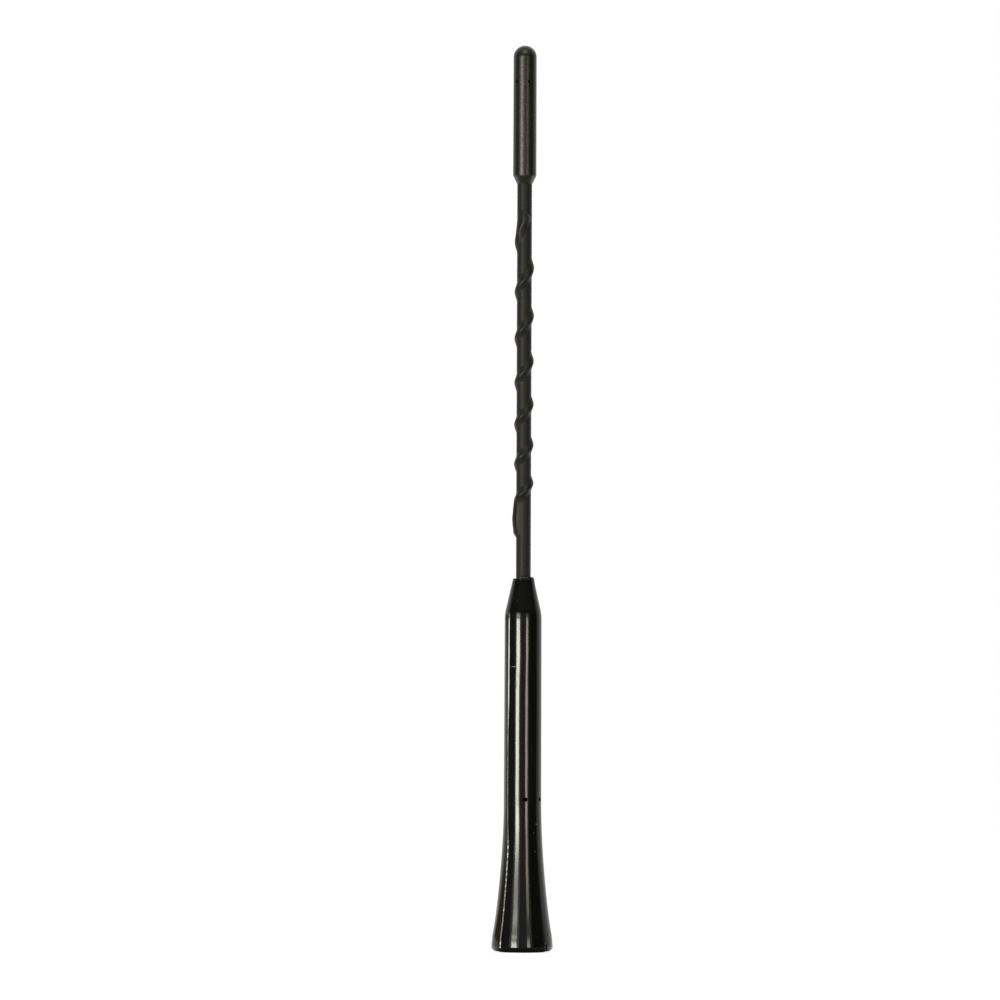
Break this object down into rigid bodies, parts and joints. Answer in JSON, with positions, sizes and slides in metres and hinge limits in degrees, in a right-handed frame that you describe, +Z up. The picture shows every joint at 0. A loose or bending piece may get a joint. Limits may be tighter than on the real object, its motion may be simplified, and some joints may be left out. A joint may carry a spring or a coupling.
{
  "type": "car mast aerial",
  "caption": "Rigid black mast aerial for a car: moulded flared base on a threaded insert, sleeved rod with a spiral cord under the sleeve, and a domed tip cap.",
  "frame": {"origin": "centre of the seat ring's face under the foot", "axes": "+Z up the mast from the seat to the tip; -Y is the side that the picture shows"},
  "size_m": [0.019, 0.019, 0.28],
  "materials": {
    "base_plastic": "gloss black injection moulding with a fine parting line and core-pin holes",
    "insert_brass": "turned and knurled brass",
    "glass_fibre": "drawn glass-fibre rod",
    "enamelled_wire": "enamelled copper wire",
    "solder": "tin solder fillet",
    "cord_plastic": "extruded plastic cord",
    "sleeve_plastic": "satin black shrink sleeve drawn over the wire's turns and the spiral cord",
    "cap_plastic": "satin black moulding with a fine grain"
  },
  "bodies": {
    "root": {"base_cover": "base_plastic", "threaded_insert": "insert_brass", "core_rod": "glass_fibre", "aerial_wire": "enamelled_wire", "solder_joint": "solder", "spiral_cord": "cord_plastic", "shrink_sleeve": "sleeve_plastic", "tip_cap": "cap_plastic"}
  },
  "joints": []
}
